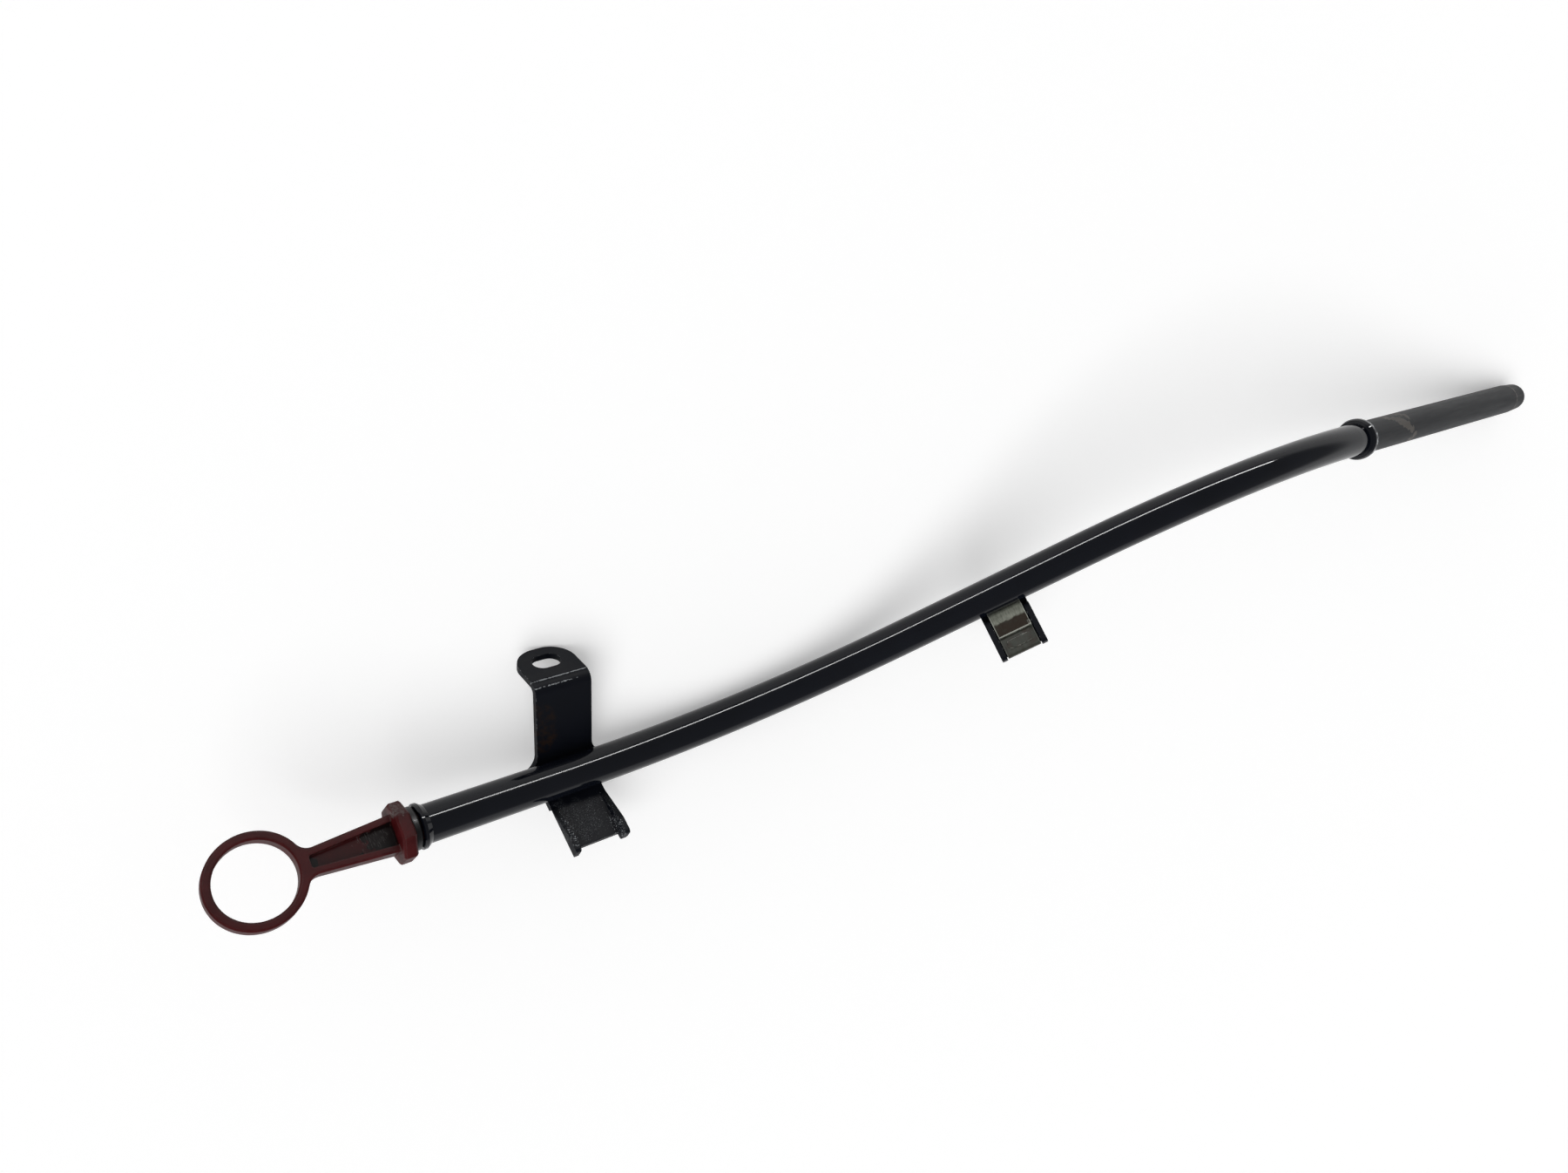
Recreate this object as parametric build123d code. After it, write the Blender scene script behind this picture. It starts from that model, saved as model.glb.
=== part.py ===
"""Engine oil dipstick in its guide tube.

A bent steel guide tube carries a brazed mounting strap, a brazed harness bracket and a spring clip.
The dipstick pulls out of its mouth: a moulded finger-ring handle with a plug, two rubber seals and
a flat blade that follows the tube.

Everything is drawn from the tube's mouth: X runs into the tube, both bends lie in the XZ plane, and
the whole is then laid down the way it comes to rest. Millimetres, Z up, floor at Z = 0.
"""
import os
from math import asin, cos, degrees, radians, sin

from build123d import *

# Guide tube
tube_od = 12.0
tube_wall = 1.2
mouth_run = 54.0
bend_radius = 156.0
first_bend = 45.0
middle_run = 65.0
second_bend = 45.0
bead_run = 7.3             # end of the second bend to the middle of the stop bead
spigot_length = 137.0      # middle of the stop bead to the open end
lip_od = 14.2
lip_run = 2.8
lip_bevel = 0.3
bead_od = 15.3
bead_width = 4.4
bead_round = 1.5
nose_length = 9.0          # tapered lead-in at the open end
nose_od = 11.0

# Mounting bracket
sheet = 2.0
braze_gap = 0.05
strap_place = 53.1         # along the tube from the rim
strap_width = 19.8
strap_plate_angle = 46.0   # directions round the tube, from +Y towards +Z
strap_tab_angle = 170.0
strap_plate_length = 28.0
strap_fold = 82.0          # how far the slotted tab is folded back, degrees
strap_fold_radius = 2.0    # inside of the fold
slot_tab_length = 15.5     # fold to the rounded end
slot_tab_round = 8.5
bolt_slot_length = 9.8
bolt_slot_width = 7.0
bolt_slot_place = 8.0      # from the fold
braze_flare = 5.5          # hollow curve each side where the strap is brazed
braze_flare_height = 0.8

# Connector channels on both brackets
channel_height = 3.4       # above the web
channel_start = 6.6        # from the tube's axis
channel_bend = 0.3         # inside of the fold
ear_round = 1.2
strap_tab_reach = 21.8     # tube axis to the web's end
strap_ear = 2.2            # side walls beyond the web
strap_wall_rise = 12.0     # how far the side walls take to rise

# Harness bracket
harness_place = 36.1       # along the middle run
harness_width = 17.0
harness_wall_rise = 1.0
harness_angle = 178.0
harness_reach = 21.0
harness_ear = 1.2
harness_wrap = 40.0        # how far it curls round behind the tube, degrees

# Spring clip in the harness bracket
clip_sheet = 0.8
clip_side_gap = 0.4
clip_seat_gap = 0.03
clip_bend = 0.1
clip_fold_place = 6.9      # tube axis to the middle of the fold
clip_fold_radius = 1.3
clip_leaf_radius = 18.0
clip_leaf_end = 14.6       # tube axis to the leaf's free end
clip_hook = 1.6            # turned down over the web's end
clip_pad_length = 8.6
clip_pad_width = 3.0
clip_pad_height = 0.35
clip_pad_round = 1.0
clip_tang_length = 1.8
clip_tang_width = 0.8
clip_tang_height = 1.6

# Handle
ring_place = 45.7          # rim to the ring's centre
ring_od = 27.6
ring_band = 2.6            # between the ring's inside and outside
ring_thickness = 4.2       # at the ring's far side
stem_ring_width = 7.6
stem_collar_width = 11.4
stem_collar_thickness = 6.4
stem_blend = 4.0           # fillet between stem and ring
handle_bevel = 0.5
rail_width = 2.0
stem_web = 2.0             # left between the two recesses
recess_start = 0.6         # from the ring's outside
recess_round = 0.8
collar_flats = 17.3
collar_thickness = 4.2
collar_bevel = 0.6
collar_gap = 2.9           # collar to the tube's rim
neck_od = 9.4              # between the collar and the rim
plug_od = 8.8
plug_length = 18.0         # inside the tube
plug_bevel = 0.8

# Seals
mouth_seal_od = 13.4
mouth_seal_gap = 0.3       # to the tube's rim
mouth_seal_bevel = 0.6
o_ring_section = 1.5
o_ring_sides = 10
o_ring_place = 6.5         # inside the rim
seal_gap = 0.15            # to the tube's bore
groove_gap = 0.05

# Blade
blade_width = 5.0
blade_thickness = 0.8
blade_grip = 10.0          # length held in the plug
blade_grip_gap = 0.03
blade_end_gap = 6.0        # short of the nose
blade_tip_round = 2.2
mark_hole = 2.0
low_mark = 16.0            # from the tip
high_mark = 40.0

# How the whole lies on the floor: on the slotted tab's end, the tube's first bend and its nose
lie_roll = -28.517         # about X, then
lie_pitch = 17.570         # about Y
lie_tolerance = 0.01       # how closely the lowest point is found

tube_radius = tube_od / 2
bore_radius = tube_radius - tube_wall


def tube_path(start, end_run):
    """Centre line from X = start to end_run past the second bend."""
    mouth = Line((start, 0), (mouth_run, 0))
    lower_arc = JernArc(mouth @ 1, mouth % 1, bend_radius, first_bend)
    middle = PolarLine(lower_arc @ 1, middle_run, direction=lower_arc % 1)
    upper_arc = JernArc(middle @ 1, middle % 1, bend_radius, -second_bend)
    spigot = PolarLine(upper_arc @ 1, end_run, direction=upper_arc % 1)
    return Plane.XZ * Wire([mouth, lower_arc, middle, upper_arc, spigot])


def station(path, length):
    """Plane across the path: x is +Y of the model, z runs along the tube."""
    here = path.position_at(length, position_mode=PositionMode.LENGTH)
    along = path.tangent_at(length, position_mode=PositionMode.LENGTH)
    return Plane(origin=here, x_dir=(0, 1, 0), z_dir=along)


def polar(radius, angle):
    return Vector(radius * cos(radians(angle)), radius * sin(radians(angle)))


def turned(points):
    """Solid of revolution about Z from an outline of (radius, along) points."""
    outline = make_face(Polyline(points, close=True))
    return revolve(Plane.XZ * outline, Axis.Z)


full_path = tube_path(0, bead_run + spigot_length - nose_length)
mouth_plane = station(full_path, 0)
bead_plane = station(full_path, full_path.length + nose_length - spigot_length)
nose_plane = station(full_path, full_path.length).offset(nose_length)


def make_guide_tube():
    outside = sweep(mouth_plane * Circle(tube_radius), path=full_path)
    bore = sweep(mouth_plane * Circle(bore_radius), path=full_path)

    # Flared mouth: the wall turned outwards to a lip
    lip_radius = lip_od / 2
    mouth_radius = bore_radius + lip_radius - tube_radius
    lip = turned([
        (0, 0), (lip_radius - lip_bevel, 0), (lip_radius, lip_bevel), (lip_radius, tube_wall),
        (tube_radius, lip_run), (0, lip_run)])
    funnel_depth = lip_run - tube_wall / 2
    funnel = turned([(0, 0), (mouth_radius, 0), (bore_radius, funnel_depth), (0, funnel_depth)])

    # Stop bead: the wall folded out into a hollow ridge
    top, half, corner = bead_od / 2, bead_width / 2, bead_round * (1 - sin(radians(45)))
    bead = turned([
        (0, -half), (top - bead_round, -half), (top - corner, corner - half), (top, bead_round - half),
        (top, half - bead_round), (top - corner, half - corner), (top - bead_round, half), (0, half)])
    fold = Cylinder(bead_od / 2 - tube_wall, bead_width - 2 * tube_wall)

    # Nose: both walls drawn in towards the open end
    nose_bore = nose_od / 2 - tube_wall
    nose = turned([(0, -nose_length), (tube_radius, -nose_length), (nose_od / 2, 0), (0, 0)])
    nose -= turned([(0, -nose_length), (bore_radius, -nose_length), (nose_bore, 0), (0, 0)])

    tube = outside + mouth_plane * lip + bead_plane * bead
    tube = tube - bore - mouth_plane * funnel - bead_plane * fold
    return tube + nose_plane * nose


def tab_place(plane, angle):
    """Front face of a plate touching the tube's back: x away from the tube, y out of the face."""
    touch = polar(tube_radius + braze_gap, angle + 90)
    return plane.location * Plane(origin=touch, x_dir=polar(1, angle), z_dir=(0, 0, -1)).location


def plate_place(start, direction):
    """Middle of a plate that runs from start: x along the tube, y along the plate."""
    return Plane(origin=start, x_dir=(0, 0, 1), z_dir=(-direction.Y, direction.X, 0)).location


def channel_tab(reach, ear, width, rise):
    """Flat web with two folded-up side walls that run on past it as ears."""
    web = Pos(channel_start / 2, -sheet / 2, 0) * Box(channel_start, sheet, width)
    total_height = sheet + channel_height
    section = Pos(0, total_height / 2 - sheet) * Rectangle(width, total_height)
    section = fillet(section.vertices().group_by(Axis.Y)[0], channel_bend + sheet)
    hollow = Pos(0, total_height / 2) * Rectangle(width - 2 * sheet, total_height)
    section -= fillet(hollow.vertices().group_by(Axis.Y)[0], channel_bend)
    run = reach + ear
    channel = extrude(Plane.ZY * section, -run)
    side = make_face(Polyline([
        (channel_start, -sheet), (channel_start, 0), (channel_start + rise, channel_height),
        (run, channel_height), (run, -sheet)], close=True))
    side = fillet(side.vertices().group_by(Axis.X)[-1], ear_round)
    channel &= extrude(side, width, both=True)
    notch = Pos(run, 0, 0) * Box(2 * ear, 4 * sheet, width - 2 * sheet)
    return web + (channel - notch)


def make_mounting_bracket():
    middle_radius = tube_radius + braze_gap + sheet / 2
    saddle_turn = 180 - (strap_tab_angle - strap_plate_angle)
    saddle = CenterArc((0, 0), middle_radius, strap_tab_angle + 90, saddle_turn)
    plate = PolarLine(saddle @ 1, strap_plate_length, direction=saddle % 1)
    fold = JernArc(plate @ 1, plate % 1, strap_fold_radius + sheet / 2, -strap_fold)
    strap = extrude(trace([saddle, plate, fold], sheet), strap_width / 2, both=True)

    # Wider where it is brazed, with a hollow curve up to the plate's sides
    foot = PolarLine(saddle @ 1, braze_flare_height, direction=saddle % 1)
    strap += extrude(trace([foot], sheet), strap_width / 2 + braze_flare, both=True)
    for side in (-1, 1):
        corner = Pos(side * (strap_width + braze_flare) / 2, braze_flare_height + braze_flare / 2)
        curve = Pos(side * (strap_width / 2 + braze_flare), braze_flare_height + braze_flare)
        gusset = corner * Rectangle(braze_flare, braze_flare) - curve * Circle(braze_flare)
        strap += plate_place(saddle @ 1, plate % 1) * extrude(gusset, sheet / 2, both=True)

    # Slotted tab with a rounded end
    outline = Pos(0, slot_tab_length / 2) * Rectangle(strap_width, slot_tab_length)
    outline = fillet(outline.vertices().group_by(Axis.Y)[-1], slot_tab_round)
    outline -= Pos(0, bolt_slot_place) * SlotOverall(bolt_slot_length, bolt_slot_width)
    strap += plate_place(fold @ 1, fold % 1) * extrude(outline, sheet / 2, both=True)

    here = station(full_path, strap_place)
    channel = tab_place(here, strap_tab_angle) * channel_tab(strap_tab_reach, strap_ear, strap_width,
                                                              strap_wall_rise)
    return here * strap + channel


harness_plane = station(full_path, mouth_run + radians(first_bend) * bend_radius + harness_place)
harness_tab = tab_place(harness_plane, harness_angle)


def make_harness_bracket():
    middle_radius = tube_radius + braze_gap + sheet / 2
    curl = CenterArc((0, 0), middle_radius, harness_angle + 90, harness_wrap)
    saddle = extrude(trace([curl], sheet), harness_width / 2, both=True)
    return harness_plane * saddle + harness_tab * channel_tab(harness_reach, harness_ear, harness_width,
                                                              harness_wall_rise)


def make_harness_clip():
    width = harness_width - 2 * sheet - 2 * clip_side_gap
    base_line = clip_seat_gap + clip_sheet / 2
    hook_line = harness_reach + clip_seat_gap + clip_sheet / 2
    base = FilletPolyline(
        (hook_line, base_line - clip_hook), (hook_line, base_line), (clip_fold_place, base_line),
        radius=clip_bend + clip_sheet / 2)
    fold = JernArc(base @ 1, base % 1, clip_fold_radius, -180)
    leaf_turn = degrees(asin((clip_leaf_end - clip_fold_place) / clip_leaf_radius))
    leaf = JernArc(fold @ 1, fold % 1, clip_leaf_radius, -leaf_turn)
    clip = extrude(trace([base, fold, leaf], clip_sheet), width / 2, both=True)

    # Pressed pad on the base and a small upright tang at the leaf's corner
    pad_place = (clip_leaf_end + harness_reach) / 2
    pad = Plane.XZ * RectangleRounded(clip_pad_width, clip_pad_length, clip_pad_round)
    clip += Pos(pad_place, clip_seat_gap + clip_sheet, 0) * extrude(pad, -clip_pad_height)
    tang = Box(clip_tang_length, clip_tang_height, clip_tang_width)
    tang_across = (width - clip_tang_width) / 2
    clip += Pos((leaf @ 1).X - clip_tang_length / 2, (leaf @ 1).Y + clip_tang_height / 2, -tang_across) * tang
    return harness_tab * clip


collar_face = -collar_gap - collar_thickness
ring_edge = -ring_place + ring_od / 2


def stem_half_width(x):
    share = (x - ring_edge) / (collar_face - ring_edge)
    return (stem_ring_width + share * (stem_collar_width - stem_ring_width)) / 2


def stem_outline(start, end, inset):
    """Tapering stem between two places on the axis, drawn in by inset at each side."""
    near, far = stem_half_width(start) - inset, stem_half_width(end) - inset
    return make_face(Polyline([(start, -near), (end, -far), (end, far), (start, near)], close=True))


def make_handle():
    # Ring and stem in plan, with blended corners
    plan = Pos(-ring_place, 0) * Circle(ring_od / 2) + stem_outline(-ring_place, collar_face, 0)
    plan = fillet(plan.vertices().group_by(Axis.X)[0], stem_blend)
    plan -= Pos(-ring_place, 0) * Circle(ring_od / 2 - ring_band)
    # Thickness grows from the ring to the collar
    tip = -ring_place - ring_od / 2
    side = make_face(Polyline([
        (tip, -ring_thickness / 2), (collar_face, -stem_collar_thickness / 2),
        (collar_face, stem_collar_thickness / 2), (tip, ring_thickness / 2)], close=True))
    blank = extrude(plan, stem_collar_thickness, both=True) & extrude(Plane.XZ * side, ring_od, both=True)
    flats = blank.faces().sort_by(Axis.Z)
    outline = flats[0].edges() + flats[-1].edges()
    blank = chamfer(outline.filter_by(lambda edge: edge.center().X < collar_face - 0.01), handle_bevel)

    # Recess in both faces of the stem
    recess = stem_outline(ring_edge + recess_start, collar_face, rail_width)
    recess = fillet(recess.vertices().group_by(Axis.X)[0], recess_round)
    for face in (stem_web / 2, -stem_web / 2):
        depth = stem_collar_thickness if face > 0 else -stem_collar_thickness
        blank -= Pos(0, 0, face) * extrude(recess, depth)

    # Eight-sided collar, neck and plug on the tube's axis
    collar = extrude(RegularPolygon(collar_flats / 2, 8, major_radius=False, rotation=22.5), collar_thickness)
    collar = chamfer(collar.faces().sort_by(Axis.Z)[0].edges() + collar.faces().sort_by(Axis.Z)[-1].edges(),
                     collar_bevel)
    plug = turned([
        (0, 0), (neck_od / 2, 0), (neck_od / 2, collar_gap), (plug_od / 2, collar_gap),
        (plug_od / 2, collar_gap + plug_length - plug_bevel), (plug_od / 2 - plug_bevel, collar_gap + plug_length),
        (0, collar_gap + plug_length)])
    floor_radius = bore_radius - seal_gap - o_ring_section - groove_gap
    groove_half = o_ring_section / 2 + groove_gap
    middle = collar_gap + o_ring_place
    plug -= turned([(floor_radius, middle - groove_half), (plug_od, middle - groove_half),
                    (plug_od, middle + groove_half), (floor_radius, middle + groove_half)])
    along = Plane(origin=(collar_face, 0, 0), x_dir=(0, 1, 0), z_dir=(1, 0, 0))
    handle = blank + along * collar + Pos(collar_thickness, 0, 0) * (along * plug)
    slot = Box(blade_grip, blade_width + 2 * blade_grip_gap, blade_thickness + 2 * blade_grip_gap)
    return handle - Pos(plug_length - blade_grip / 2, 0, 0) * slot


def make_mouth_seal():
    inner, outer = neck_od / 2 + groove_gap, mouth_seal_od / 2
    rim, thickness = outer - mouth_seal_bevel, collar_gap - mouth_seal_gap
    ring = turned([
        (inner, 0), (rim, 0), (outer, mouth_seal_bevel), (outer, thickness - mouth_seal_bevel),
        (rim, thickness), (inner, thickness)])
    return Pos(-collar_gap, 0, 0) * (mouth_plane * ring)


def make_plug_o_ring():
    ring_radius = bore_radius - seal_gap - o_ring_section / 2
    section = Pos(ring_radius, 0) * RegularPolygon(o_ring_section / 2, o_ring_sides)
    return Pos(o_ring_place, 0, 0) * (mouth_plane * revolve(Plane.XZ * section, Axis.Z))


def make_blade():
    end_run = bead_run + spigot_length - nose_length - blade_end_gap
    path = tube_path(plug_length - blade_grip, end_run)
    blade = sweep(station(path, 0) * Rectangle(blade_width, blade_thickness), path=path)
    across = blade.edges().filter_by(lambda edge: abs(edge.length - blade_thickness) < blade_grip_gap)
    blade = fillet(across.sort_by(Axis.X)[-2:], blade_tip_round)
    for mark in (low_mark, high_mark):
        drill = Rot(90, 0, 0) * Cylinder(mark_hole / 2, 4 * blade_thickness)
        blade -= station(path, path.length - mark) * drill
    return blade


parts = {
    "guide_tube": make_guide_tube(),
    "mounting_bracket": make_mounting_bracket(),
    "harness_bracket": make_harness_bracket(),
    "harness_clip": make_harness_clip(),
    "dipstick_handle": make_handle(),
    "mouth_seal": make_mouth_seal(),
    "plug_o_ring": make_plug_o_ring(),
    "dipstick_blade": make_blade(),
}

# Lay the whole down, its box centred over the origin and its lowest point on the floor
lie = Rot(0, lie_pitch, 0) * Rot(lie_roll, 0, 0)
laid = {name: lie * solid for name, solid in parts.items()}
points = [point for solid in laid.values() for point in solid.tessellate(lie_tolerance)[0]]
across = [point.X for point in points]
deep = [point.Y for point in points]
seat = Pos(-(min(across) + max(across)) / 2, -(min(deep) + max(deep)) / 2, -min(point.Z for point in points))

os.makedirs("parts", exist_ok=True)
for name, solid in laid.items():
    export_step(seat * solid, f"parts/{name}.step")
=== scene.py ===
"""Engine oil dipstick in its guide tube: finishes for all pieces, the hatched blade and the stage."""
from math import radians, sin

import bmesh
import bpy
from bpy.props import FloatProperty, FloatVectorProperty, PointerProperty
from mathutils import Euler, Matrix, Vector


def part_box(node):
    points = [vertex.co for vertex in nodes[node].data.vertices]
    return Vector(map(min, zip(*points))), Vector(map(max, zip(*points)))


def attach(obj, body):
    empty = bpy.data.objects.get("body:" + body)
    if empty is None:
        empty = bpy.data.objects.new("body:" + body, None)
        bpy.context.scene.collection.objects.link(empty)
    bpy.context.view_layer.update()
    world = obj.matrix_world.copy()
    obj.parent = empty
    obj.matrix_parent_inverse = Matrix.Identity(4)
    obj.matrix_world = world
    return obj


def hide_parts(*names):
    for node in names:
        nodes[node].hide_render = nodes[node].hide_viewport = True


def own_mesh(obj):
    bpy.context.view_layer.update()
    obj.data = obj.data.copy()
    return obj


bl_info = {
    "name": "Engine oil dipstick",
    "version": (1, 0, 0),
    "blender": (4, 5, 0),
    "location": "3D View > Sidebar > Dipstick",
    "description": "Finishes for the tube, brackets, clip, handle and seals, the blade and a plain studio",
    "category": "Object",
}

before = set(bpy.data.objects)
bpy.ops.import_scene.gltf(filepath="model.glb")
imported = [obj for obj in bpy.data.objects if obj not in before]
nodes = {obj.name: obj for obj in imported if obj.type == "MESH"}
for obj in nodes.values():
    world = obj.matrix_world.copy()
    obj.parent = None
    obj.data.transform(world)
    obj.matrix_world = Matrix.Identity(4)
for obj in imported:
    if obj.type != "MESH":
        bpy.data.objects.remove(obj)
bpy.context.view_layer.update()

# Drawn from the tube's mouth, X into the tube and Z towards the camera, then laid down by this turn
lie = Euler((radians(-28.517), radians(17.570), 0))
turn = lie.to_matrix()
seal_to_mouth = 0.0016
seal_low, seal_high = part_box("mouth_seal")
mouth = (Vector(seal_low) + Vector(seal_high)) / 2 + turn @ Vector((seal_to_mouth, 0, 0))
from_mouth = Matrix.Translation(mouth) @ turn.to_4x4()

# Places along X in millimetres from the mouth
bead_middle = 327.9
spigot_start = 330.0
nose_start = 455.9
collar_start = -7.5
recess_end = -31.4

millimetre = 0.001
white = (1.0, 1.0, 1.0, 1.0)
# Most values of a noise lie between these two
noise_low, noise_high = 0.3, 0.7
# Samples of a rounded normal
bevel_samples = 6
# Corners nearer to each other than this are one corner
merge_distance = 1e-6


def linear(hex_colour):
    """sRGB hex to linear red, green and blue."""
    shares = [int(hex_colour[i:i + 2], 16) / 255 for i in (1, 3, 5)]
    return tuple(s / 12.92 if s <= 0.04045 else ((s + 0.055) / 1.055) ** 2.4 for s in shares)


def colour(name, hex_colour, words):
    """Colour property with an sRGB hex default."""
    return FloatVectorProperty(name=name, description=words, subtype="COLOR", size=4, min=0, max=1,
                               default=(*linear(hex_colour), 1.0))


class TubePaint(bpy.types.PropertyGroup):
    """Colours of the painted steel"""
    enamel: colour("Enamel", "#07090F", "Black enamel on the tube")
    enamel_light: colour("Enamel, lighter", "#0D1018", "Cloudy lighter areas of the enamel")
    spigot: colour("Spigot", "#0F1115", "Satin coating beyond the stop bead")
    spigot_light: colour("Spigot, lighter", "#1B1D21", "Lighter streaks on the spigot")
    # The scuff colour also paints the highlight where the nose starts
    scuff: colour("Scuffs", "#6E675F", "Brown-grey marks beside the stop bead")
    # Bare steel also paints the highlight on the bead's crest and the one along the bracket's fold
    bare_steel_and_highlight: colour("Bare steel", "#A9ADB0", "Steel where the paint is chipped")
    rust: colour("Rust", "#22160E", "Brown stain on the strap")


class ClipPlating(bpy.types.PropertyGroup):
    """Colours of the spring clip"""
    zinc: colour("Zinc", "#8B8E82", "Bright part of the leaf")
    dull_zinc: colour("Dull zinc", "#33362F", "Dirty plating on the base")
    stain: colour("Oil stain", "#2A2016", "Brown half of the leaf")
    edge: colour("Sheared edge", "#C2C6BC", "Bright edges of the sheet")


class HandlePlastic(bpy.types.PropertyGroup):
    """Colours of the handle and seals"""
    nylon: colour("Nylon", "#38090B", "Maroon of the moulding")
    nylon_light: colour("Nylon, lighter", "#4B1517", "Rubbed and lighter maroon")
    # Grime also paints the shade round the neck behind the collar
    grime_and_shade: colour("Grime", "#0D0A0A", "Oily dirt in the recess")
    # Rubbed grey also paints the highlight on the handle's edges
    rubbed: colour("Rubbed grey", "#6B6966", "Worn corner of the collar")
    rubber: colour("Rubber", "#0C0C0F", "Seals")


class BladeShape(bpy.types.PropertyGroup):
    """Blade's finish and hatched zone"""
    steel: colour("Spring steel", "#9A978F", "Ground strip steel")
    ground: colour("Grinding lines", "#616161", "Dark lines left by grinding")
    oil: colour("Oil film", "#5B4426", "Oil left on the tip")
    tip: FloatProperty(name="Tip", description="Tip's place along the mouth's axis", default=0.4499,
                       unit="LENGTH")
    rise: FloatProperty(name="Rise", description="Tip's height over the mouth's axis", default=0.13734,
                        unit="LENGTH")
    low_mark: FloatProperty(name="Low mark", description="From the tip", default=0.016, unit="LENGTH")
    high_mark: FloatProperty(name="High mark", description="From the tip", default=0.040, unit="LENGTH")
    hatch_step: FloatProperty(name="Hatch step", description="Between hatch lines", default=0.0015,
                              unit="LENGTH")
    hatch_angle: FloatProperty(name="Hatch angle", description="Lean of the hatch lines", default=radians(35),
                               subtype="ANGLE")
    hatch_length: FloatProperty(name="Hatch length", description="Length of a line", default=0.0042,
                                unit="LENGTH")
    hatch_height: FloatProperty(name="Hatch height", description="Whole height, past both faces",
                                default=0.0011, unit="LENGTH")
    hatch_line: FloatProperty(name="Hatch line", description="Width of a line", default=0.00022,
                              unit="LENGTH")
    flatten: FloatProperty(name="Flatten", description="Share of the bend left when pulled out", default=0.12,
                           min=0.01, max=1)
    smooth_angle: FloatProperty(name="Smooth angle", description="Edges that turn less are smooth",
                                default=radians(30), subtype="ANGLE")


class StageSetup(bpy.types.PropertyGroup):
    """Floor, lights and camera"""
    floor: colour("Floor", "#F7F7F7", "Pale studio floor")
    floor_half: FloatProperty(name="Floor half", description="Half the floor's width", default=30,
                              unit="LENGTH")
    floor_drop: FloatProperty(name="Floor drop", description="Floor under the part", default=0.0002,
                              unit="LENGTH")
    glow: FloatProperty(name="Floor glow", description="Lifts the lit floor to white", default=0.235, min=0)
    sky: FloatProperty(name="Sky", description="Strength of the studio's ceiling", default=0.3, min=0)
    wall_top: FloatProperty(name="Wall top", description="Where the pale walls end", default=radians(12),
                            subtype="ANGLE")
    ceiling: FloatProperty(name="Ceiling", description="Where the dimmer ceiling begins", default=radians(25),
                           subtype="ANGLE")
    strip: FloatProperty(name="Strip light", description="Power of the long strip", default=17, unit="POWER")
    strip_length: FloatProperty(name="Strip length", description="Length of the strip", default=1.8,
                                unit="LENGTH")
    strip_width: FloatProperty(name="Strip width", description="Width of the strip", default=0.06,
                               unit="LENGTH")
    strip_place: FloatVectorProperty(name="Strip place", description="Where the strip hangs",
                                     default=(0.0, 0.95, 0.62), subtype="TRANSLATION")
    key: FloatProperty(name="Key light", description="Strength of the wide soft key", default=1.7, min=0)
    key_spread: FloatProperty(name="Key spread", description="How wide the key looks", default=radians(50),
                              subtype="ANGLE")
    key_place: FloatVectorProperty(name="Key place", description="Where the key shines from",
                                   default=(-0.6, -0.5, 1.2), subtype="TRANSLATION")
    lens: FloatProperty(name="Lens", description="Focal length in millimetres", default=27.2)
    sensor: FloatProperty(name="Sensor", description="Sensor width in millimetres", default=36)
    nearest: FloatProperty(name="Nearest", description="Nearest thing in view", default=0.01, unit="LENGTH")
    place: FloatVectorProperty(name="Camera", description="Where the camera stands", subtype="TRANSLATION",
                               default=(-0.21252, 0.09083, 0.38619), precision=5)
    turn: FloatVectorProperty(name="Camera turn", description="How the camera is turned", subtype="EULER",
                              default=(radians(-7.1919), radians(-20.491), radians(-8.0355)))


def add(tree, kind, inputs=None, out=0, **settings):
    """Adds one node with its settings and links, and gives back one output, or the node for out=None."""
    node = tree.nodes.new(kind)
    for name, value in settings.items():
        setattr(node, name, value)
    # Inputs go by name or number: a Map Range's are 0 the value, 1 and 2 its old range, 3 and 4 the new one
    for key, value in (inputs or {}).items():
        for source in value if isinstance(value, list) else [value]:
            if isinstance(source, bpy.types.NodeSocket):
                tree.links.new(source, node.inputs[key])
            else:
                node.inputs[key].default_value = source
    return node if out is None else node.outputs[out]


def start_material(name):
    """New material and its place in millimetres from the tube's mouth, read from Object coordinates."""
    material = bpy.data.materials.new(name)
    material.use_nodes = True
    tree = material.node_tree
    tree.nodes.clear()
    spot = add(tree, "ShaderNodeTexCoord", out=3)
    place = add(tree, "ShaderNodeMapping", {"Vector": spot, "Location": mouth, "Rotation": lie,
                                            "Scale": (millimetre,) * 3}, vector_type="TEXTURE")
    return material, tree, place


def end_material(tree, inputs):
    """Shader and output for what a material has worked out."""
    shader = add(tree, "ShaderNodeBsdfPrincipled", inputs)
    add(tree, "ShaderNodeOutputMaterial", {"Surface": shader}, out=None)


def patch(tree, place, centre, half, ragged=0.4, grain=1.5, strength=1.0):
    """Ragged oval patch in millimetres from the mouth: its strength inside and 0 outside."""
    blur = 0.12
    away = add(tree, "ShaderNodeVectorMath", {0: place, 1: centre}, operation="SUBTRACT")
    share = add(tree, "ShaderNodeVectorMath", {0: away, 1: half}, operation="DIVIDE")
    reach = add(tree, "ShaderNodeVectorMath", {0: share}, out=1, operation="LENGTH")
    rough = add(tree, "ShaderNodeTexNoise", {"Vector": place, "Scale": 1 / grain, "Detail": 3.0})
    shift = add(tree, "ShaderNodeMapRange", {0: rough, 1: 0.25, 2: 0.75, 3: -ragged, 4: ragged})
    edge = add(tree, "ShaderNodeMath", {0: reach, 1: shift}, operation="ADD")
    return add(tree, "ShaderNodeMapRange", {0: edge, 1: 1 + blur, 2: 1 - blur, 4: strength},
               interpolation_type="SMOOTHSTEP")


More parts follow.
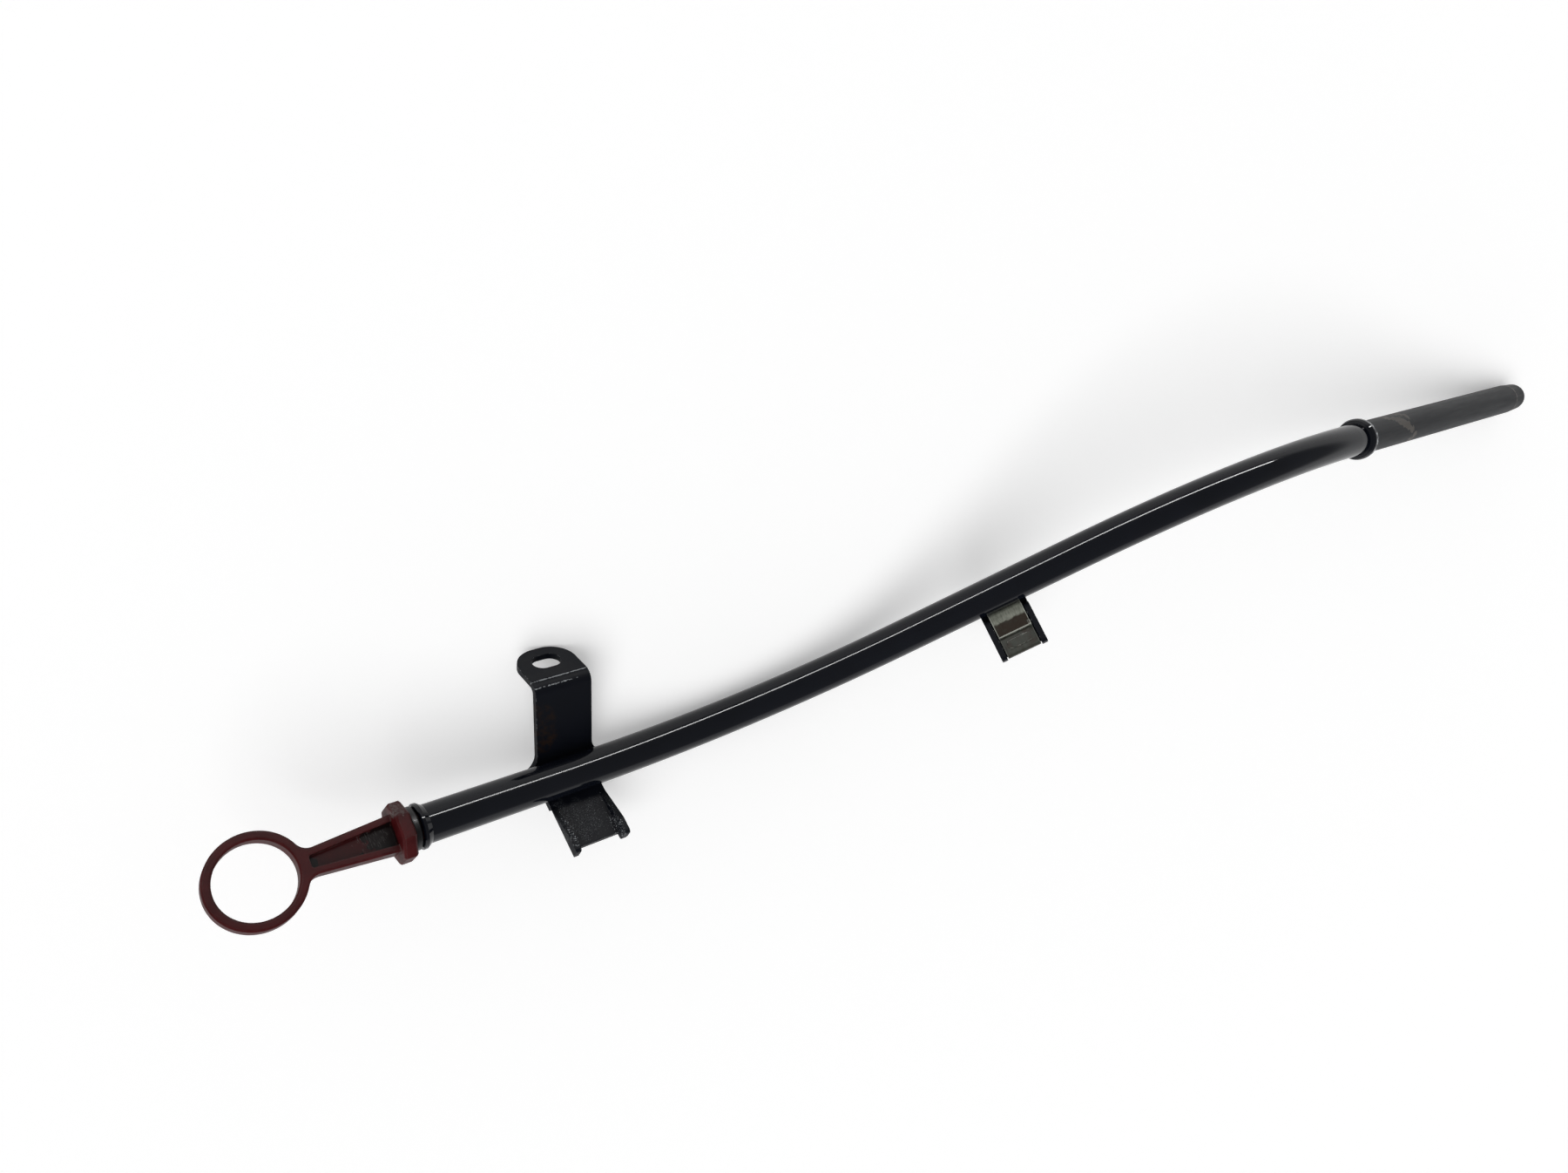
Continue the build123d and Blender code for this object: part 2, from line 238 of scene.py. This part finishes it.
def speckle(tree, place, size, low, high, within=1.0):
    """Spots of about size millimetres inside a mask: none under low of a noise, full over high."""
    noise = add(tree, "ShaderNodeTexNoise", {"Vector": place, "Scale": 1 / size, "Detail": 4.0,
                                             "Roughness": 0.6})
    return add(tree, "ShaderNodeMapRange", {0: noise, 1: low, 2: high, 4: within})


def sheet_edges(tree, radius, within=1.0):
    """Edges and corners, from the turn between the surface and its normal rounded over millimetres."""
    flat_match, edge_match = 0.97, 0.80
    soft = add(tree, "ShaderNodeBevel", {"Radius": radius * millimetre}, samples=bevel_samples)
    flat = add(tree, "ShaderNodeNewGeometry", out=3)
    match = add(tree, "ShaderNodeVectorMath", {0: soft, 1: flat}, out=1, operation="DOT_PRODUCT")
    return add(tree, "ShaderNodeMapRange", {0: match, 1: flat_match, 2: edge_match, 4: within})


def together(tree, mask, *others):
    """One mask from several: the strongest of them everywhere."""
    for other in others:
        mask = add(tree, "ShaderNodeMath", {0: mask, 1: other}, operation="MAXIMUM")
    return mask


def coats(tree, base, *layers):
    """Lays colours over a base one after another, each through its mask."""
    for paint, mask in layers:
        base = add(tree, "ShaderNodeMix", {0: mask, 6: base, 7: paint}, out=2, data_type="RGBA")
    return base


def tube_enamel(paint):
    """Baked black enamel on drawn steel tube: deep gloss, slight ripple, satin spigot past the bead."""
    material, tree, place = start_material("black_enamel_tube")
    along = add(tree, "ShaderNodeSeparateXYZ", {0: place})
    spigot = add(tree, "ShaderNodeMapRange", {0: along, 1: spigot_start - 0.2, 2: spigot_start + 0.3})
    nose = add(tree, "ShaderNodeMapRange", {0: along, 1: nose_start - 0.3, 2: nose_start + 0.3})
    # Cloudy areas about 14 mm across, and streaks drawn out along the tube
    cloud = add(tree, "ShaderNodeTexNoise", {"Vector": place, "Scale": 1 / 14, "Detail": 5.0})
    drawn = add(tree, "ShaderNodeMapping", {"Vector": place, "Scale": (0.05, 0.6, 0.6),
                                            "Rotation": (0.0, 0.0, 0.35)})
    streak = add(tree, "ShaderNodeTexNoise", {"Vector": drawn, "Scale": 1.0, "Detail": 6.0,
                                              "Roughness": 0.65})
    # Two scuffs drawn down across the spigot: one 26 mm long, one of 14 mm beside it
    stroke = add(tree, "ShaderNodeMapping", {"Vector": place, "Location": (354, 0, 140),
                                             "Rotation": (0.0, 0.0, radians(-31))}, vector_type="TEXTURE")
    scuffs = together(tree, patch(tree, stroke, (0, -0.5, 0), (13, 1.6, 9), 0.9, 2.4, 0.42),
                      patch(tree, stroke, (-3, 4.4, 0), (7, 1.8, 9), 0.9, 2.4, 0.36))
    # Thin lighter line in the scuff colour where the nose starts: partly rubbed paint, partly a painted
    # highlight
    nose_rub_and_highlight = add(tree, "ShaderNodeMath", {0: along, 1: nose_start, 2: 0.25}, operation="COMPARE")
    edge = speckle(tree, place, 1.6, 0.35, 0.6, nose_rub_and_highlight)
    satin = coats(tree, paint.spigot, (paint.spigot_light, streak), (paint.scuff, scuffs),
                  (paint.enamel, nose), (paint.scuff, edge))
    # Bright ring on the bead's far side: partly where the block has rubbed it to steel, partly a painted
    # highlight along its crest
    ring = add(tree, "ShaderNodeMath", {0: along, 1: bead_middle + 0.4, 2: 0.6}, operation="COMPARE")
    bead_wear_and_highlight = speckle(tree, place, 1.6, 0.42, 0.58, ring)
    shade = coats(tree, paint.enamel, (paint.enamel_light, cloud), (satin, spigot), (paint.bare_steel_and_highlight, bead_wear_and_highlight))
    gloss = add(tree, "ShaderNodeMapRange", {0: cloud, 1: noise_low, 2: noise_high, 3: 0.07, 4: 0.12})
    dull = add(tree, "ShaderNodeMapRange", {0: streak, 1: noise_low, 2: noise_high, 3: 0.5, 4: 0.62})
    roughness = add(tree, "ShaderNodeMix", {0: spigot, 2: gloss, 3: dull})
    # Ripple of the stoved paint, about 2 mm
    ripple = add(tree, "ShaderNodeTexNoise", {"Vector": place, "Scale": 1 / 2.2, "Detail": 2.0})
    normal = add(tree, "ShaderNodeBump", {"Height": ripple, "Strength": 0.06,
                                          "Distance": 0.03 * millimetre})
    end_material(tree, {"Base Color": shade, "Roughness": roughness, "Specular IOR Level": 0.25,
                        "Normal": normal})
    return material


def bracket_enamel(paint):
    """Black enamel on folded sheet: flatter than the tube, chipped to steel on its fold and tab walls, with a
    painted highlight along the fold.
    """
    material, tree, place = start_material("black_enamel_sheet")
    cloud = add(tree, "ShaderNodeTexNoise", {"Vector": place, "Scale": 1 / 9, "Detail": 5.0})
    brown = speckle(tree, place, 2.5, 0.4, 0.7, patch(tree, place, (46, 16, 6.5), (4.5, 10, 10), 0.8, 5))
    # Chips: two broken lines on the fold, the upper one also a painted highlight along the bend, spots along
    # both walls and the web of the lower tab, rubbed rims
    fold = patch(tree, place, (53.1, 28.4, 16.6), (10.4, 0.16, 1.4), 0.8, 0.9)
    under_fold = patch(tree, place, (50, 26.0, 16.9), (7.5, 0.22, 1.6), 0.5, 1.0)
    below = speckle(tree, place, 0.8, 0.45, 0.6, under_fold)
    left = speckle(tree, place, 0.45, 0.56, 0.6, patch(tree, place, (45.6, -18, 0), (1.8, 7.5, 6), 0.5, 2))
    right = speckle(tree, place, 0.45, 0.58, 0.62, patch(tree, place, (60.4, -20, 0), (1.3, 5, 6), 0.5, 2))
    web = speckle(tree, place, 0.32, 0.64, 0.68, patch(tree, place, (53, -15, -2), (10, 8, 5), 0.5, 4))
    pitted = speckle(tree, place, 0.4, 0.5, 0.66, patch(tree, place, (50, -13, -2), (9, 8, 5), 0.5, 4, 0.12))
    rims = speckle(tree, place, 1.4, 0.52, 0.65, sheet_edges(tree, 0.35))
    chips = together(tree, fold, below, left, right, web, rims)
    bare_and_highlight = add(tree, "ShaderNodeMapRange", {0: chips, 4: 0.8})
    shade = coats(tree, paint.enamel, (paint.enamel_light, cloud), (paint.rust, brown),
                  (paint.bare_steel_and_highlight, pitted), (paint.bare_steel_and_highlight, bare_and_highlight))
    roughness = add(tree, "ShaderNodeMapRange", {0: cloud, 1: noise_low, 2: noise_high, 3: 0.42, 4: 0.54})
    # Thick paint: 1 mm orange peel, rounded edges, chips sunk into it
    peel = add(tree, "ShaderNodeTexNoise", {"Vector": place, "Scale": 1 / 1.1, "Detail": 3.0})
    height = add(tree, "ShaderNodeMath", {0: peel, 1: bare_and_highlight}, operation="SUBTRACT")
    rounded = add(tree, "ShaderNodeBevel", {"Radius": 0.35 * millimetre}, samples=bevel_samples)
    normal = add(tree, "ShaderNodeBump", {"Height": height, "Strength": 0.25,
                                          "Distance": 0.08 * millimetre, "Normal": rounded})
    end_material(tree, {"Base Color": shade, "Roughness": roughness, "Specular IOR Level": 0.09,
                        "Normal": normal})
    return material


def clip_zinc(plating):
    """Zinc-plated spring steel: satin, wiped bright on the leaf's upper half and stained brown below it."""
    material, tree, place = start_material("zinc_spring_steel")
    # The leaf, in millimetres from the mouth: its middle and half its width across, three places down it
    leaf_middle, leaf_half = 184.6, 5.85
    stain_top, leaf_foot, base_top = -9.2, -14.45, -14.65
    down = add(tree, "ShaderNodeSeparateXYZ", {0: place}, out=1)
    # Jagged boundaries across the leaf, and wipe lines down it
    jag = add(tree, "ShaderNodeTexNoise", {"Vector": place, "Scale": 1 / 1.6, "Detail": 5.0,
                                           "Roughness": 0.65})
    jagged = add(tree, "ShaderNodeMath", {0: jag, 1: 1.8, 2: down}, operation="MULTIPLY_ADD")
    wiped = add(tree, "ShaderNodeMapping", {"Vector": place, "Scale": (1.5, 0.4, 1.5)})
    lines = add(tree, "ShaderNodeTexNoise", {"Vector": wiped, "Scale": 1.0, "Detail": 4.0})
    blotch = add(tree, "ShaderNodeTexNoise", {"Vector": place, "Scale": 1 / 2.4, "Detail": 5.0})
    dull_lines = add(tree, "ShaderNodeMapRange", {0: lines, 1: 0.4, 2: 0.75, 4: 0.6})
    thin_stain = add(tree, "ShaderNodeMapRange", {0: blotch, 1: 0.5, 2: 0.95})
    spotted = add(tree, "ShaderNodeMapRange", {0: blotch, 1: 0.42, 2: 0.75})
    stained = coats(tree, plating.stain, (plating.dull_zinc, thin_stain))
    base = coats(tree, plating.dull_zinc, (plating.stain, spotted))
    in_stain = add(tree, "ShaderNodeMapRange", {0: jagged, 1: stain_top + 0.3, 2: stain_top - 0.3})
    on_base = add(tree, "ShaderNodeMapRange", {0: down, 1: base_top, 2: base_top - 0.15})
    # Sheared edges: the leaf's two sides and its end shine, the rest only where its corners are rubbed
    across = add(tree, "ShaderNodeVectorMath", {0: place, 1: (0.7071, 0.0, 0.7071)}, out=1,
                 operation="DOT_PRODUCT")
    off_middle = add(tree, "ShaderNodeMath", {0: across, 1: leaf_middle}, operation="SUBTRACT")
    off_middle = add(tree, "ShaderNodeMath", {0: off_middle}, operation="ABSOLUTE")
    on_leaf = add(tree, "ShaderNodeMapRange", {0: on_base, 3: 1.0, 4: 0.25})
    sides = add(tree, "ShaderNodeMapRange", {0: off_middle, 1: leaf_half - 0.07, 2: leaf_half + 0.07,
                                             4: on_leaf})
    leaf_end = add(tree, "ShaderNodeMath", {0: down, 1: leaf_foot, 2: 0.2}, operation="COMPARE")
    rims = together(tree, speckle(tree, place, 1.5, 0.42, 0.6, sheet_edges(tree, 0.4)), sides, leaf_end)
    shine = add(tree, "ShaderNodeMapRange", {0: rims, 4: 0.6})
    shade = coats(tree, plating.zinc, (plating.dull_zinc, dull_lines), (stained, in_stain), (base, on_base),
                  (plating.edge, shine))
    roughness = add(tree, "ShaderNodeMapRange", {0: lines, 1: noise_low, 2: noise_high, 3: 0.32, 4: 0.5})
    metal = add(tree, "ShaderNodeMapRange", {0: in_stain, 3: 0.4, 4: 0.25})
    rounded = add(tree, "ShaderNodeBevel", {"Radius": 0.2 * millimetre}, samples=bevel_samples)
    normal = add(tree, "ShaderNodeBump", {"Height": lines, "Strength": 0.2,
                                          "Distance": 0.04 * millimetre, "Normal": rounded})
    end_material(tree, {"Base Color": shade, "Metallic": metal, "Roughness": roughness, "Normal": normal})
    return material


def handle_nylon(plastic):
    """Moulded maroon nylon: soft sheen, rubbed lighter on its edges with a painted highlight there, oily dirt
    packed in the recess, painted shade round the neck.
    """
    material, tree, place = start_material("maroon_nylon")
    along = add(tree, "ShaderNodeSeparateXYZ", {0: place})
    over_middle = add(tree, "ShaderNodeSeparateXYZ", {0: place}, out=2)
    cloud = add(tree, "ShaderNodeTexNoise", {"Vector": place, "Scale": 1 / 7, "Detail": 6.0,
                                             "Roughness": 0.6})
    lighter = add(tree, "ShaderNodeMapRange", {0: cloud, 1: 0.35, 2: 0.7})
    # Grey on the edges, 0.4 on the stem and 0.5 on the collar: partly rubbed wear, partly a painted highlight
    # on the rails' edges
    rim_rub_and_highlight = add(tree, "ShaderNodeMapRange", {0: along, 1: collar_start - 0.2, 2: collar_start + 0.2,
                                                 3: 0.4, 4: 0.5})
    rims = speckle(tree, place, 2.2, 0.32, 0.6, sheet_edges(tree, 0.6, rim_rub_and_highlight))
    # The recess floor lies 1 mm from the middle plane: dirty all over, black at both of its ends
    recess_floor = 1.0
    from_middle = add(tree, "ShaderNodeMath", {0: over_middle}, operation="ABSOLUTE")
    on_stem = add(tree, "ShaderNodeMapRange", {0: along, 1: recess_end - 0.2, 2: recess_end + 0.2, 4: 0.25})
    recess = add(tree, "ShaderNodeMapRange", {0: from_middle, 1: recess_floor + 0.5,
                                              2: recess_floor + 0.05, 4: on_stem})
    near_collar = patch(tree, place, (-10, 0, 1.2), (6.4, 4.6, 1.7), 0.5, 1.6)
    near_ring = patch(tree, place, (-30.6, -0.6, 1.2), (1.5, 1.6, 1.1), 0.45, 1.2)
    # Near-black band round the neck next to the collar: painted shade in the gap between the collar and the
    # seal
    neck_shade = patch(tree, place, (-2.6, 0, 0), (0.9, 9, 9), 0.4, 1.5)
    dirt = together(tree, near_collar, near_ring, neck_shade)
    packed = add(tree, "ShaderNodeMapRange", {0: dirt, 4: 0.92})
    # Fine scratches across the dirt, about 1.5 mm long
    scratch = add(tree, "ShaderNodeMapping", {"Vector": place, "Rotation": (0.0, 0.0, radians(14)),
                                              "Scale": (0.24, 1.6, 1.6)}, vector_type="TEXTURE")
    scratched = patch(tree, place, (-13.5, 0.3, 1.2), (4.4, 3.0, 1.2), 0.6, 1.5, 0.55)
    scratches = speckle(tree, scratch, 1.0, 0.55, 0.72, scratched)
    # Collar: the upper front corner is rubbed grey
    front_corner = patch(tree, place, (-5.4, 6.0, 6.2), (2.3, 3.2, 2.8), 0.45, 1.8, 0.5)
    corner = speckle(tree, place, 1.1, 0.36, 0.6, front_corner)
    shade = coats(tree, plastic.nylon, (plastic.nylon_light, lighter), (plastic.rubbed, rims),
                  (plastic.grime_and_shade, recess), (plastic.grime_and_shade, packed), (plastic.rubbed, scratches),
                  (plastic.rubbed, corner))
    roughness = add(tree, "ShaderNodeMapRange", {0: cloud, 1: noise_low, 2: noise_high, 3: 0.4, 4: 0.56})
    # Moulded grain of about 0.6 mm
    grain = add(tree, "ShaderNodeTexNoise", {"Vector": place, "Scale": 1 / 0.6, "Detail": 3.0})
    height = add(tree, "ShaderNodeMath", {0: dirt, 1: 0.8, 2: grain}, operation="MULTIPLY_ADD")
    rounded = add(tree, "ShaderNodeBevel", {"Radius": 0.6 * millimetre}, samples=bevel_samples)
    normal = add(tree, "ShaderNodeBump", {"Height": height, "Strength": 0.22,
                                          "Distance": 0.1 * millimetre, "Normal": rounded})
    end_material(tree, {"Base Color": shade, "Roughness": roughness, "Specular IOR Level": 0.10,
                        "Normal": normal})
    return material


def seal_rubber(plastic):
    """Moulded nitrile rubber: matt black with an oily bloom."""
    material, tree, place = start_material("nitrile_rubber")
    bloom = add(tree, "ShaderNodeTexNoise", {"Vector": place, "Scale": 1 / 1.8, "Detail": 5.0})
    grey = add(tree, "ShaderNodeMapRange", {0: bloom, 1: 0.62, 2: 2.2})
    shade = coats(tree, plastic.rubber, (plastic.rubbed, grey))
    roughness = add(tree, "ShaderNodeMapRange", {0: bloom, 1: 0.35, 2: 0.65, 3: 0.25, 4: 0.5})
    rounded = add(tree, "ShaderNodeBevel", {"Radius": 0.6 * millimetre}, samples=bevel_samples)
    normal = add(tree, "ShaderNodeBump", {"Height": bloom, "Strength": 0.2,
                                          "Distance": 0.1 * millimetre, "Normal": rounded})
    end_material(tree, {"Base Color": shade, "Roughness": roughness, "Specular IOR Level": 0.3,
                        "Normal": normal})
    return material


def blade_steel(shape):
    """Ground spring steel strip: fine lines along it, with an amber oil film towards the tip."""
    oil_start, oil_full, oil_wander = 400.0, 470.0, 60.0
    material, tree, place = start_material("ground_spring_steel")
    along = add(tree, "ShaderNodeSeparateXYZ", {0: place})
    # Grinding lines 0.2 mm apart, drawn 0.4 mm apart so that they show
    strip = add(tree, "ShaderNodeMapping", {"Vector": place, "Scale": (0.04, 2.5, 2.5)})
    lines = add(tree, "ShaderNodeTexNoise", {"Vector": strip, "Scale": 1.0, "Detail": 4.0})
    film = add(tree, "ShaderNodeTexNoise", {"Vector": place, "Scale": 1 / 8, "Detail": 5.0})
    edge = add(tree, "ShaderNodeMath", {0: film, 1: oil_wander, 2: along}, operation="MULTIPLY_ADD")
    oily = add(tree, "ShaderNodeMapRange", {0: edge, 1: oil_start, 2: oil_full, 4: 0.75})
    tone = add(tree, "ShaderNodeMapRange", {0: lines, 1: noise_low, 2: noise_high, 4: 0.35})
    shade = coats(tree, shape.steel, (shape.ground, tone), (shape.oil, oily))
    roughness = add(tree, "ShaderNodeMapRange", {0: lines, 1: noise_low, 2: noise_high, 3: 0.24, 4: 0.4})
    normal = add(tree, "ShaderNodeBump", {"Height": lines, "Strength": 0.2, "Distance": 0.03 * millimetre})
    end_material(tree, {"Base Color": shade, "Metallic": 1.0, "Roughness": roughness, "Normal": normal})
    return material


def put_on(material, *names):
    """Gives CAD nodes their finish."""
    for name in names:
        mesh = nodes[name].data
        mesh.materials.clear()
        mesh.materials.append(material)


def hatch_tree(material, lean):
    """Geometry Nodes: a row of thin leaning bars across the blade between its two marks."""
    tree = bpy.data.node_groups.new("blade_hatch", "GeometryNodeTree")
    for name, kind in (("Blade", "NodeSocketGeometry"), ("Start", "NodeSocketVector"),
                       ("Step", "NodeSocketVector"), ("Count", "NodeSocketInt"), ("Bar", "NodeSocketVector")):
        tree.interface.new_socket(name, in_out="INPUT", socket_type=kind)
    tree.interface.new_socket("Blade", in_out="OUTPUT", socket_type="NodeSocketGeometry")
    given = add(tree, "NodeGroupInput", out=None).outputs
    row = add(tree, "GeometryNodeMeshLine", {"Count": given["Count"], "Start Location": given["Start"],
                                             "Offset": given["Step"]}, mode="OFFSET")
    bar = add(tree, "GeometryNodeMeshCube", {"Size": given["Bar"]})
    bars = add(tree, "GeometryNodeInstanceOnPoints", {"Points": row, "Instance": bar, "Rotation": lean})
    whole = add(tree, "GeometryNodeJoinGeometry", {0: [given["Blade"], bars]})
    whole = add(tree, "GeometryNodeRealizeInstances", {0: whole})
    whole = add(tree, "GeometryNodeSetMaterial", {"Geometry": whole, "Material": material})
    add(tree, "NodeGroupOutput", {0: whole}, out=None)
    return tree


def hatched_blade(context, shape, material):
    """Copy of the blade's mesh, merged, with hatch lines between its two marks."""
    mesh = nodes["dipstick_blade"].data.copy()
    # The stored normals don't fit the merged corners, so they go and smooth_angle decides
    if mesh.has_custom_normals:
        mesh.attributes.remove(mesh.attributes["custom_normal"])
    clean = bmesh.new()
    clean.from_mesh(mesh)
    bmesh.ops.remove_doubles(clean, verts=clean.verts, dist=merge_distance)
    clean.to_mesh(mesh)
    clean.free()
    draft = bpy.data.objects.new("blade_draft", mesh)
    context.collection.objects.link(draft)

    lean = (turn @ Euler((0, 0, shape.hatch_angle)).to_matrix()).to_euler()
    hatch = draft.modifiers.new("hatch", "NODES")
    hatch.node_group = hatch_tree(material, lean)
    step = turn @ Vector((shape.hatch_step, 0, 0))
    high = from_mouth @ Vector((shape.tip - shape.high_mark, 0, shape.rise))
    # The row keeps two steps clear of both marks' holes
    clear = 2
    count = round((shape.high_mark - shape.low_mark) / shape.hatch_step) - 2 * clear + 1
    values = {"Start": high + clear * step, "Step": step, "Count": count,
              "Bar": (shape.hatch_line, shape.hatch_length, shape.hatch_height)}
    for item in hatch.node_group.interface.items_tree:
        if item.in_out == "INPUT" and item.name in values:
            hatch[item.identifier] = values[item.name]

    ready = draft.evaluated_get(context.evaluated_depsgraph_get())
    plain = bpy.data.meshes.new_from_object(ready)
    bpy.data.objects.remove(draft)
    plain.polygons.foreach_set("use_smooth", [True] * len(plain.polygons))
    plain.set_sharp_from_angle(angle=shape.smooth_angle)
    return plain


class DIPSTICK_OT_paint_tube(bpy.types.Operator):
    """Paint the guide tube and wear its spigot"""
    bl_idname = "dipstick.paint_tube"
    bl_label = "Paint guide tube"

    def execute(self, context):
        put_on(tube_enamel(context.scene.tube_paint), "guide_tube")
        return {"FINISHED"}


class DIPSTICK_OT_paint_brackets(bpy.types.Operator):
    """Paint and chip both brackets"""
    bl_idname = "dipstick.paint_brackets"
    bl_label = "Paint brackets"

    def execute(self, context):
        put_on(bracket_enamel(context.scene.tube_paint), "mounting_bracket", "harness_bracket")
        return {"FINISHED"}


class DIPSTICK_OT_plate_clip(bpy.types.Operator):
    """Plate and stain the spring clip"""
    bl_idname = "dipstick.plate_clip"
    bl_label = "Plate spring clip"

    def execute(self, context):
        put_on(clip_zinc(context.scene.clip_plating), "harness_clip")
        return {"FINISHED"}


class DIPSTICK_OT_mould_handle(bpy.types.Operator):
    """Colour the handle and its two seals"""
    bl_idname = "dipstick.mould_handle"
    bl_label = "Colour handle and seals"

    def execute(self, context):
        plastic = context.scene.handle_plastic
        put_on(handle_nylon(plastic), "dipstick_handle")
        put_on(seal_rubber(plastic), "mouth_seal", "plug_o_ring")
        return {"FINISHED"}


class DIPSTICK_OT_make_blade(bpy.types.Operator):
    """Make the blade with its hatched zone"""
    bl_idname = "dipstick.make_blade"
    bl_label = "Make blade"

    def execute(self, context):
        shape = context.scene.blade_shape
        blade = bpy.data.objects.new("blade_strip", hatched_blade(context, shape, blade_steel(shape)))
        context.collection.objects.link(blade)
        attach(blade, "dipstick")
        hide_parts("dipstick_blade")
        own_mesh(blade)
        return {"FINISHED"}


class DIPSTICK_OT_set_stage(bpy.types.Operator):
    """Lay the floor, hang the lights and stand the camera"""
    bl_idname = "dipstick.set_stage"
    bl_label = "Set stage"

    def execute(self, context):
        setup = context.scene.stage_setup
        self.lay_floor(context, setup)
        self.paint_walls(context, setup)
        self.hang_lights(context, setup)
        self.stand_camera(context, setup)
        context.scene.view_settings.view_transform = "Standard"
        return {"FINISHED"}

    def lay_floor(self, context, setup):
        """Matt painted board with a faint roller texture, white where the light falls on it."""
        roller_grain = 2.5 * millimetre
        material = bpy.data.materials.new("matt_floor_paint")
        material.use_nodes = True
        tree = material.node_tree
        tree.nodes.clear()
        spot = add(tree, "ShaderNodeTexCoord", out=3)
        roller = add(tree, "ShaderNodeTexNoise", {"Vector": spot, "Scale": 1 / roller_grain})
        normal = add(tree, "ShaderNodeBump", {"Height": roller, "Strength": 0.02,
                                              "Distance": 0.5 * millimetre})
        rays = add(tree, "ShaderNodeLightPath", out=None).outputs
        seen = together(tree, rays["Is Camera Ray"], rays["Is Glossy Ray"], rays["Is Transmission Ray"])
        glow = add(tree, "ShaderNodeMapRange", {0: seen, 4: setup.glow})
        end_material(tree, {"Base Color": setup.floor, "Roughness": 0.9, "Specular IOR Level": 0.0,
                            "Normal": normal, "Emission Color": white, "Emission Strength": glow})
        mesh = bpy.data.meshes.new("floor")
        side = setup.floor_half
        square = ((-side, -side), (side, -side), (side, side), (-side, side))
        corners = [(x, y, -setup.floor_drop) for x, y in square]
        mesh.from_pydata(corners, [], [(0, 1, 2, 3)])
        mesh.materials.append(material)
        floor = bpy.data.objects.new("floor", mesh)
        context.collection.objects.link(floor)

    def paint_walls(self, context, setup):
        """Pale studio walls, then a dimmer ceiling."""
        world = bpy.data.worlds.new("studio")
        world.use_nodes = True
        tree = world.node_tree
        tree.nodes.clear()
        up = add(tree, "ShaderNodeSeparateXYZ", {0: add(tree, "ShaderNodeTexCoord")}, out=2)
        level = add(tree, "ShaderNodeMapRange", {0: up, 1: sin(setup.wall_top), 2: sin(setup.ceiling),
                                                 3: 1.0, 4: setup.sky}, interpolation_type="SMOOTHSTEP")
        sky = add(tree, "ShaderNodeBackground", {"Color": white, "Strength": level})
        add(tree, "ShaderNodeOutputWorld", {"Surface": sky}, out=None)
        context.scene.world = world

    def hang_lights(self, context, setup):
        """A long narrow strip draws the thin line along the tube, and a wide soft key lights the rest."""
        strip = bpy.data.lights.new("strip", "AREA")
        strip.shape = "RECTANGLE"
        strip.size, strip.size_y, strip.energy = setup.strip_length, setup.strip_width, setup.strip
        key = bpy.data.lights.new("key", "SUN")
        key.angle, key.energy = setup.key_spread, setup.key
        for light, place, unlit in ((strip, setup.strip_place, "visible_diffuse"),
                                    (key, setup.key_place, "visible_glossy")):
            lamp = bpy.data.objects.new(light.name, light)
            lamp.location = place
            lamp.rotation_euler = (-Vector(place)).to_track_quat("-Z", "Y").to_euler()
            lamp.visible_camera = False
            setattr(lamp, unlit, False)
            context.collection.objects.link(lamp)

    def stand_camera(self, context, setup):
        """Camera at the photograph's viewing angle."""
        view = bpy.data.cameras.new("camera")
        view.sensor_fit, view.sensor_width, view.lens = "HORIZONTAL", setup.sensor, setup.lens
        view.clip_start = setup.nearest
        camera = bpy.data.objects.new("camera", view)
        camera.location = setup.place
        camera.rotation_euler = setup.turn
        context.collection.objects.link(camera)
        context.scene.camera = camera


class DIPSTICK_PT_panel(bpy.types.Panel):
    """Steps that finish the dipstick"""
    bl_label = "Engine oil dipstick"
    bl_idname = "DIPSTICK_PT_panel"
    bl_space_type = "VIEW_3D"
    bl_region_type = "UI"
    bl_category = "Dipstick"

    def draw(self, context):
        for step in steps:
            self.layout.operator(step.bl_idname)
        for name, group in groups.items():
            box = self.layout.box()
            box.label(text=group.__doc__)
            for key in group.__annotations__:
                box.prop(getattr(context.scene, name), key)


groups = {"tube_paint": TubePaint, "clip_plating": ClipPlating, "handle_plastic": HandlePlastic,
          "blade_shape": BladeShape, "stage_setup": StageSetup}
steps = (DIPSTICK_OT_paint_tube, DIPSTICK_OT_paint_brackets, DIPSTICK_OT_plate_clip, DIPSTICK_OT_mould_handle,
         DIPSTICK_OT_make_blade, DIPSTICK_OT_set_stage)


def register():
    """Registers the classes and puts their settings on the scene."""
    for kind in (*groups.values(), *steps, DIPSTICK_PT_panel):
        bpy.utils.register_class(kind)
    for name, group in groups.items():
        setattr(bpy.types.Scene, name, PointerProperty(type=group))


def unregister():
    """Takes the settings and the classes away again."""
    for name in groups:
        delattr(bpy.types.Scene, name)
    for kind in reversed((*groups.values(), *steps, DIPSTICK_PT_panel)):
        bpy.utils.unregister_class(kind)


def main():
    """Finishes every piece and sets the stage."""
    register()
    bpy.ops.dipstick.paint_tube()
    bpy.ops.dipstick.paint_brackets()
    bpy.ops.dipstick.plate_clip()
    bpy.ops.dipstick.mould_handle()
    bpy.ops.dipstick.make_blade()
    bpy.ops.dipstick.set_stage()


if __name__ == "__main__":
    main()
